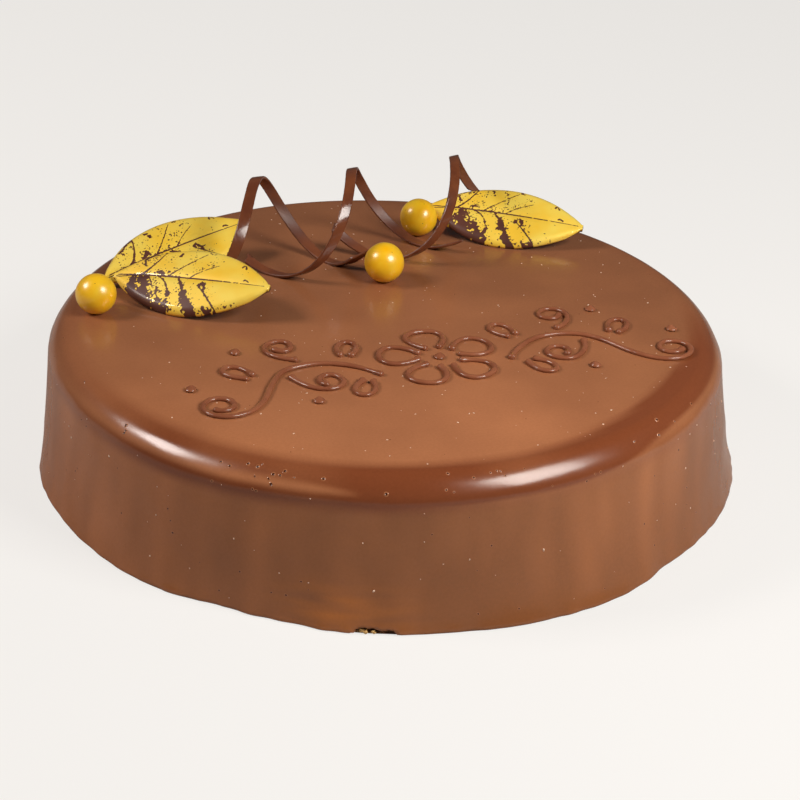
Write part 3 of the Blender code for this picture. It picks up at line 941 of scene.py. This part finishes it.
# %% Routes of the strokes
ORNAMENT_CENTRE = (5.0, -37.0)
PETALS = 5
PETAL_START = 5.2
PETAL = (15.5, 12.5, 36.0)        # length, width and opening, in degrees of its turn
VINE_STROKES = {
    # x, y and heading of the start, then runs of (length, bend, bend): a bend
    # is the degrees turned for each mm, at the run's start and at its end.
    "vine": (23.0, -8.0, 58.0, ((40.0, -1.2, -4.0), (30.0, -3.0, 4.6), (43.0, 4.6, 16.0))),
    "tendril_upper": (47.0, 10.2, 30.0, ((12.0, 0.0, 7.0), (28.0, 8.0, 18.5))),
    "tendril_lower": (53.2, -0.6, -108.0, ((13.0, 0.0, -6.0), (30.0, -7.0, -18.5))),
}
SPRIG = (13.0, 6.4, 46.0)
SPRIGS = {                        # x, y of its open end, heading
    "sprig_inner": (31.5, 7.0, 112.0),
    "sprig_lower": (28.0, -8.5, -62.0),
    "sprig_outer": (64.5, 0.5, 52.0),
}
BEAD_RADIUS = 2.0
BEADS = {
    "bead_upper": (66.0, 22.0),
    "bead_outer": (87.0, -1.0),
    "bead_lower": (49.0, -20.0),
}
ROUTE_STEP = 0.5


def stroke_route(x, y, heading, runs):
    """Points along a line whose bend changes evenly within each run."""
    places = [(x, y)]
    for length, bend_from, bend_to in runs:
        count = round(length / ROUTE_STEP)
        step = length / count
        for index in range(count):
            bend = bend_from + (bend_to - bend_from) * (index + 0.5) / count
            middle = math.radians(heading + 0.5 * bend * step)
            x += step * math.cos(middle)
            y += step * math.sin(middle)
            heading += bend * step
            places.append((x, y))
    return np.array(places)


def loop_route(x, y, heading, length, width, opening):
    """A teardrop line, open at its pointed end, which is at x, y."""
    angle = np.radians(np.linspace(opening, 360.0 - opening, 90))
    along = 0.5 * length * (1.0 - np.cos(angle))
    across = 0.5 * width * np.sin(angle) * np.sin(0.5 * angle) ** 0.8 / 0.77
    c, s = math.cos(math.radians(heading)), math.sin(math.radians(heading))
    return np.stack([x + along * c - across * s, y + along * s + across * c], axis=-1)


# %% From a route to a piped line
LINE_HALF_WIDTH = 0.98
LINE_HEIGHT = 1.45
LINE_SIDES = 16


def piped_rings(route, seed):
    """Cross-sections of a piped line along a route on the cake's top."""
    route = route + np.array(ORNAMENT_CENTRE)
    walked = np.concatenate([[0.0], np.cumsum(np.hypot(*np.diff(route, axis=0).T))])
    total = walked[-1]
    tip = LINE_HALF_WIDTH * (1.0 - np.cos(np.radians(np.linspace(8.0, 90.0, 6))))
    places = np.concatenate([tip, np.arange(tip[-1] + 0.45, total - tip[-1], 0.45), total - tip[::-1]])
    x = np.interp(places, walked, route[:, 0])
    y = np.interp(places, walked, route[:, 1])
    tremble = [(noise.noise((0.12 * p, seed, 0.0)), noise.noise((0.12 * p, seed, 9.0))) for p in places]
    x, y = np.array([x, y]) + 0.28 * np.array(tremble).T
    heading = np.arctan2(np.gradient(y), np.gradient(x))
    slow_flow = np.array([noise.noise((0.085 * p, seed, 4.0)) for p in places])
    quick_flow = np.array([noise.noise((0.5 * p, seed, 7.0)) for p in places])
    thick = 1.0 + 0.24 * (slow_flow + 0.4 * quick_flow)
    thick += 0.34 * hump(places, 0.9, 1.5) + 0.26 * hump(total - places, 0.8, 1.3)
    from_end = np.minimum(places, total - places) / LINE_HALF_WIDTH
    closing = np.sqrt(1.0 - np.clip(1.0 - from_end, 0.0, 1.0) ** 2)
    half = LINE_HALF_WIDTH * thick * closing
    tall = LINE_HEIGHT * (0.35 + 0.65 * thick) * (0.3 + 0.7 * closing)
    turn = 2.0 * math.pi * np.arange(LINE_SIDES) / LINE_SIDES
    across = half[:, None] * np.cos(turn)
    up = tall[:, None] * (0.46 + 0.54 * np.sin(turn)) - 0.10
    ground = surface_height(x, y)[:, None]
    return np.stack([
        x[:, None] - across * np.sin(heading)[:, None],
        y[:, None] + across * np.cos(heading)[:, None],
        ground + up], axis=-1)


def bead_rings(x, y, seed):
    """A small drop with the tip that forms as the cone is pulled away."""
    share = np.linspace(0.04, 1.0, 22)[:, None]
    turn = 2.0 * math.pi * np.arange(28) / 28
    belly = np.sin(math.pi * share ** 0.80) ** 0.62 * (1.0 - 0.12 * share)
    radius = BEAD_RADIUS * np.where(share < 0.995, belly, 0.02)
    height = 1.75 * share ** 1.1 + 0.35 * share ** 9 - 0.12
    lean = 0.35 * share ** 4
    x, y = x + ORNAMENT_CENTRE[0], y + ORNAMENT_CENTRE[1]
    uneven = 1.0 + 0.05 * np.sin(2.0 * turn + seed) + 0.03 * np.sin(3.0 * turn - seed)
    return np.stack(np.broadcast_arrays(
        x + lean * math.cos(seed) + radius * uneven * np.cos(turn),
        y + lean * math.sin(seed) + radius * uneven * np.sin(turn),
        float(surface_height(x, y)) + height), axis=-1)


# %% Piping material
def piping_material():
    material, tree, shader, place = start_material("melted_chocolate_piped_and_set")
    brown, _ = two_tones(tree, place, 9.0, "#874f36", "#965c40")
    grain = add(tree, "TexNoise", {"Vector": place, "Scale": per_metre(0.9), "Detail": 3.0})
    gloss = add(tree, "MapRange", {
        "Value": grain, "From Min": 0.3, "From Max": 0.7, "To Min": 0.17, "To Max": 0.27})
    bump = add(tree, "Bump", {"Height": grain, "Strength": 0.25, "Distance": 0.05 * MM})
    feed(tree, shader, {
        "Base Color": brown,
        "Roughness": gloss,
        "Normal": bump,
        "IOR": 1.48,
    })
    return material


# %% Pipe the flower and the vines
def pipe(node, rings, material):
    make_object(skin(f"piped_{node}", rings), material, [node])


def pipe_flower(material):
    for index in range(PETALS):
        heading = 90.0 + index * 360.0 / PETALS
        x = PETAL_START * math.cos(math.radians(heading))
        y = PETAL_START * math.sin(math.radians(heading))
        pipe(f"petal_{index + 1}", piped_rings(loop_route(x, y, heading, *PETAL), 2.3 * index), material)
    pipe("flower_middle", bead_rings(0.0, 0.0, 0.7), material)


def pipe_vines(material):
    for side, mirror in (("right", 1.0), ("left", -1.0)):
        flip = np.array([mirror, 1.0])
        for name, stroke in VINE_STROKES.items():
            rings = piped_rings(flip * stroke_route(*stroke), 5.1 * mirror + len(name))
            pipe(f"{name}_{side}", rings, material)
        for number, (name, place) in enumerate(SPRIGS.items()):
            rings = piped_rings(flip * loop_route(*place, *SPRIG), 3.7 * number + 8.0 * mirror)
            pipe(f"{name}_{side}", rings, material)
        for number, (name, (x, y)) in enumerate(BEADS.items()):
            pipe(f"{name}_{side}", bead_rings(mirror * x, y, 1.3 * number + mirror), material)


piped = piping_material()
pipe_flower(piped)
pipe_vines(piped)

# %% [markdown]
# ## Bubbles, specks and crumbs
#
# A poured glaze is never clean. Air bubbles burst at the rim and leave pits
# with a raised lip, pinholes dot the side, sugar grains and pale cake dust sit
# on top, and crumbs of cake fall out where the foot broke. They are real little
# meshes, because their shadows and glints are what makes them read as flaws and
# not as painted dots. The hollow inside each pit's lip is also coloured dark,
# which is painted shade. One function sets copies of a small shape on the glaze,
# each turned to face the way the surface faces there.

# %% Helpers for small things on the glaze
def glaze_normals():
    around = np.roll(rings_of_glaze, -1, axis=1) - np.roll(rings_of_glaze, 1, axis=1)
    down = np.gradient(rings_of_glaze, axis=0)
    normal = np.cross(down, around)
    return normal / np.linalg.norm(normal, axis=-1, keepdims=True)


normals_of_glaze = glaze_normals()
dice = random.Random(21)
# Ring numbers on the glaze: the upper turn of the rim, the side, and the foot.
RIM_ROWS = (TOP_RINGS + 7, TOP_RINGS + 18)
SIDE_ROWS = (TOP_RINGS + RIM_RINGS - 4, TOP_RINGS + RIM_RINGS + SIDE_RINGS - 2)
FOOT_ROW = TOP_RINGS + RIM_RINGS + SIDE_RINGS + 2


def glaze_spot(degrees, row):
    """A point on the glaze and its outward direction, at an angle and a ring number."""
    column = round(degrees % 360.0 / 360.0 * AROUND) % AROUND
    return rings_of_glaze[row, column], normals_of_glaze[row, column]


def top_spot():
    """A random place on the flat of the top, clear of the rim."""
    radius = 0.92 * CAKE_RADIUS * math.sqrt(dice.random())
    row = int(np.argmin(np.abs(rings_of_glaze[:TOP_RINGS + RIM_RINGS, 0, 0] - radius)))
    return glaze_spot(dice.uniform(0.0, 360.0), row)


def side_spot():
    return glaze_spot(dice.uniform(0.0, 360.0), dice.randrange(*SIDE_ROWS))


def rim_spot(low, high):
    return glaze_spot(dice.uniform(low, high), dice.randrange(*RIM_ROWS))


def ball_shape(detail):
    """The points and faces of a unit ball made of triangles."""
    ball = bmesh.new()
    bmesh.ops.create_icosphere(ball, subdivisions=detail, radius=1.0)
    points = np.array([vertex.co[:] for vertex in ball.verts])
    faces = [[vertex.index for vertex in face.verts] for face in ball.faces]
    ball.free()
    return points, faces


def pit_shape():
    """A burst bubble: a raised lip around a hollow. Its floor is the last ring."""
    profile = ((1.7, -0.05), (1.35, 0.12), (1.05, 0.42), (0.80, 0.30), (0.55, 0.06))
    sides = 14
    turn = 2.0 * math.pi * np.arange(sides) / sides
    points = [(r * math.cos(a), r * math.sin(a), z) for r, z in profile for a in turn]
    faces = []
    for ring in range(len(profile) - 1):
        for i in range(sides):
            j = (i + 1) % sides
            outer, inner = ring * sides, (ring + 1) * sides
            faces.append([outer + i, outer + j, inner + j, inner + i])
    points.append((0.0, 0.0, 0.03))
    last = (len(profile) - 1) * sides
    faces += [[last + i, last + (i + 1) % sides, len(points) - 1] for i in range(sides)]
    return np.array(points), faces


def set_on_glaze(name, shape, spots, lumpy=0.0):
    """One mesh of many copies. A spot is a place, its normal, and a size along, across and up."""
    points, faces = shape
    all_points, all_faces = [], []
    for number, (place, normal, sizes) in enumerate(spots):
        along = np.cross(normal, (0.31, 0.22, 0.93))
        along /= np.linalg.norm(along)
        across = np.cross(normal, along)
        spin = dice.uniform(0.0, 2.0 * math.pi)
        ahead = math.cos(spin) * along + math.sin(spin) * across
        aside = np.cross(normal, ahead)
        local = points * np.array(sizes)
        if lumpy:
            bumps = [noise.noise((1.6 * p[0] + 5.0 * number, 1.6 * p[1], 1.6 * p[2])) for p in points]
            local = local * (1.0 + lumpy * np.array(bumps))[:, None]
        start = len(points) * number
        all_points.append(place + local[:, :1] * ahead + local[:, 1:2] * aside + local[:, 2:] * normal)
        all_faces += [[start + index for index in face] for face in faces]
    mesh = bpy.data.meshes.new(name)
    mesh.from_pydata((np.concatenate(all_points) * MM).tolist(), [], all_faces)
    mesh.shade_smooth()
    return mesh


# %% Materials of the small things
def grain_material(name, dark, light, rough, size):
    """A grainy stuff of two tones, such as sugar grains or cake crumb."""
    material, tree, shader, place = start_material(name)
    colour, grain = two_tones(tree, place, size, dark, light)
    bump = add(tree, "Bump", {"Height": grain, "Strength": 0.5, "Distance": 0.08 * MM})
    feed(tree, shader, {
        "Base Color": colour,
        "Roughness": rough,
        "Normal": bump,
    })
    return material


# %% Bubbles and pinholes
RIM_BUBBLES = ((-136.0, -122.0, 11), (-100.0, -92.0, 4), (-180.0, 180.0, 26))  # angles, how many
SIDE_PINHOLES = 120
TOP_PINHOLES = 26


def bubbles_and_pinholes():
    spots = []
    for low, high, count in RIM_BUBBLES:
        for _ in range(count):
            place, normal = rim_spot(low, high)
            size = dice.uniform(0.24, 0.48)
            spots.append((place, normal, (size, size, 0.7 * size)))
    for _ in range(SIDE_PINHOLES):
        place, normal = side_spot()
        size = dice.uniform(0.13, 0.34)
        spots.append((place, normal, (size, dice.uniform(0.9, 1.5) * size, 0.5 * size)))
    for _ in range(TOP_PINHOLES):
        place, normal = top_spot()
        size = dice.uniform(0.12, 0.26)
        spots.append((place, normal, (size, size, 0.5 * size)))
    return spots


def pit_material():
    """The glaze again, with painted shade: the hollow inside each lip is coloured dark."""
    material, tree, shader, place = start_material("boiled_chocolate_glaze_burst_bubble_with_painted_shade")
    hollow = add(tree, "Attribute", attribute_name="hollow").outputs["Fac"]
    grain = add(tree, "TexNoise", {"Vector": place, "Scale": per_metre(0.6), "Detail": 2.0})
    wall = add(tree, "MixRGB", {"Fac": grain, "Color1": linear(GLAZE_DEEP), "Color2": linear(GLAZE_WARM)})
    # painted shade: the hollow inside each lip is dark brown
    colour = add(tree, "MixRGB", {"Fac": hollow, "Color1": wall, "Color2": linear("#4a2416")})
    feed(tree, shader, {"Base Color": colour, "Roughness": 0.13, "IOR": 1.5})
    return material


pit_points, pit_faces = pit_shape()
pit_spots = bubbles_and_pinholes()
pit_mesh = set_on_glaze("glaze_bubbles", (pit_points, pit_faces), pit_spots)
# where the painted shade of the hollow goes
hollow_painted_shade = (np.hypot(pit_points[:, 0], pit_points[:, 1]) < 0.9).astype(float)
paint(pit_mesh, "hollow", np.tile(hollow_painted_shade, len(pit_spots)))
make_object(pit_mesh, pit_material())

# %% Sugar specks and crumbs
TOP_SPECKS = 230
SIDE_SPECKS = 120
CRUMB_SPREAD = 2.2                # degrees


def speck_spots():
    spots = []
    for pick, count in ((top_spot, TOP_SPECKS), (side_spot, SIDE_SPECKS)):
        for _ in range(count):
            place, normal = pick()
            size = 0.12 + 0.26 * dice.random() ** 1.7
            spots.append((place, normal, (size, dice.uniform(0.6, 1.6) * size, 0.5 * size)))
    return spots


def crumb_spots(count, reach, sizes):
    """Crumbs in and below the chip: in the hollow, or fallen a little way out."""
    spots = []
    for _ in range(count):
        degrees = dice.gauss(CHIP_ANGLE, CRUMB_SPREAD)
        size = dice.uniform(*sizes)
        foot, _ = glaze_spot(degrees, FOOT_ROW)
        out = 1.0 + (dice.uniform(*reach) / CAKE_RADIUS)
        place = np.array([foot[0] * out, foot[1] * out, size])
        spots.append((place, np.array([0.0, 0.0, 1.0]), (size, dice.uniform(0.7, 1.2) * size, 0.8 * size)))
    return spots


def scatter(name, shape, spots, lumpy, stuff, colours, rough, grain_size):
    """Many small bits of one stuff on the glaze, as one piece."""
    mesh = set_on_glaze(name, shape, spots, lumpy)
    make_object(mesh, grain_material(stuff, *colours, rough, grain_size))


scatter("sugar_specks", ball_shape(1), speck_spots(), 0.5,
        "sugar_grains_and_cake_dust", ("#dcae8c", "#f2dcc6"), 0.55, 0.3)
scatter("dark_crumbs", ball_shape(2), crumb_spots(26, (-2.6, -0.2), (0.35, 0.9)), 0.7,
        "chocolate_cake_crumb_baked", ("#46290f", "#7c5228"), 0.85, 0.5)
scatter("pale_crumbs", ball_shape(2), crumb_spots(5, (-0.4, 1.0), (0.4, 0.95)), 0.7,
        "apricot_and_sponge_crumb_baked", ("#a8742f", "#e0bd7d"), 0.7, 0.6)

# %% [markdown]
# ## Floor, room and lamps
#
# Two soft boxes light the cake in a pale room: one near the front right, which
# makes the bright dash on the rim, and a larger one far off at the back left.
# The walls give the side its even light, and the ceiling is darker. The paper
# and the walls look brighter to the camera than they light the cake, as a table
# lit by lamps of its own does. Nothing on the cake has such a switch.

# %% Room and lamps
FLOOR_SHADE = linear("#b5b5b4")
FLOOR_TINT = linear("#bbbbba")
FLOOR_LIFT = 0.735                # how much brighter the paper shows to the camera
FLOOR_SHADOWS = 0.37              # how much of the shadows on it shows
WALL_SEEN = 0.85
WALL_GLOW = 0.07
CEILING_GLOW = 0.02
NEAR_WALL_SHARE = 0.9
CEILING_FADE = (0.50, 0.82)       # how steeply up the walls turn into the ceiling: 1 is overhead
NEAR_WALL_FADE = (-0.45, 0.15)    # and where the near wall ends: -1 is straight in front


def make_floor():
    mesh = bpy.data.meshes.new("pale_floor")
    disc = bmesh.new()
    bmesh.ops.create_circle(disc, cap_ends=True, segments=128, radius=30.0)
    disc.to_mesh(mesh)
    disc.free()
    material, tree, shader, place = start_material("pale_matt_paper")
    tint = add(tree, "TexNoise", {"Vector": place, "Scale": per_metre(900.0)})
    paper = add(tree, "MixRGB", {"Fac": tint, "Color1": FLOOR_SHADE, "Color2": FLOOR_TINT})
    seen = add(tree, "LightPath").outputs["Is Camera Ray"]
    calm = add(tree, "MapRange", {"Value": seen, "To Min": 1.0, "To Max": FLOOR_SHADOWS})
    shade = add(tree, "VectorMath", {0: paper, 1: calm}, operation="MULTIPLY")
    lift = add(tree, "Math", {0: seen, 1: FLOOR_LIFT}, operation="MULTIPLY")
    feed(tree, shader, {
        "Base Color": shade,
        "Roughness": 0.9,
        "Specular IOR Level": 0.1,
        "Emission Color": linear("#fffcf8"),
        "Emission Strength": lift,
    })
    mesh.materials.append(material)
    floor = bpy.data.objects.new("pale_floor", mesh)
    bpy.context.scene.collection.objects.link(floor)


def make_room():
    """A room whose ceiling is darker, and its near side a little, though it looks pale all over."""
    world = bpy.data.worlds.new("pale_room")
    world.use_nodes = True
    tree = world.node_tree
    tree.nodes.clear()
    direction = add(tree, "TexCoord").outputs["Generated"]
    parts = add(tree, "SeparateXYZ", {"Vector": direction})
    ceiling = add(tree, "MapRange", {
        "Value": parts.outputs["Z"], "From Min": CEILING_FADE[0], "From Max": CEILING_FADE[1],
        "To Min": WALL_GLOW, "To Max": CEILING_GLOW}, interpolation_type="SMOOTHSTEP")
    near = add(tree, "MapRange", {
        "Value": parts.outputs["Y"], "From Min": NEAR_WALL_FADE[0], "From Max": NEAR_WALL_FADE[1],
        "To Min": NEAR_WALL_SHARE, "To Max": 1.0}, interpolation_type="SMOOTHSTEP")
    glow = add(tree, "Math", {0: ceiling, 1: near}, operation="MULTIPLY")
    seen = add(tree, "LightPath").outputs["Is Camera Ray"]
    strength = add(tree, "MapRange", {"Value": seen, "To Min": glow, "To Max": WALL_SEEN})
    background = add(tree, "Background", {"Color": linear("#fbf6f0"), "Strength": strength})
    add(tree, "OutputWorld", {"Surface": background})
    bpy.context.scene.world = world


def make_lamp(name, place, size, watts, colour, aim=(0.0, 0.0, 40.0)):
    lamp_data = bpy.data.lights.new(name, "AREA")
    lamp_data.shape = "RECTANGLE"
    lamp_data.size = size[0] * MM
    lamp_data.size_y = size[1] * MM
    lamp_data.energy = watts
    lamp_data.color = linear(colour)[:3]
    lamp = bpy.data.objects.new(name, lamp_data)
    lamp.location = Vector(place) * MM
    lamp.rotation_euler = (Vector(aim) - Vector(place)).to_track_quat("-Z", "Y").to_euler()
    lamp.visible_camera = False
    bpy.context.scene.collection.objects.link(lamp)


make_floor()
make_room()
make_lamp("soft_box_right", (300.0, -420.0, 470.0), (280.0, 260.0), 4.2, "#fffaf4")
make_lamp("soft_box_left", (-915.0, 270.0, 860.0), (400.0, 310.0), 8.6, "#fff4ee")
bpy.context.scene.view_settings.view_transform = "Standard"
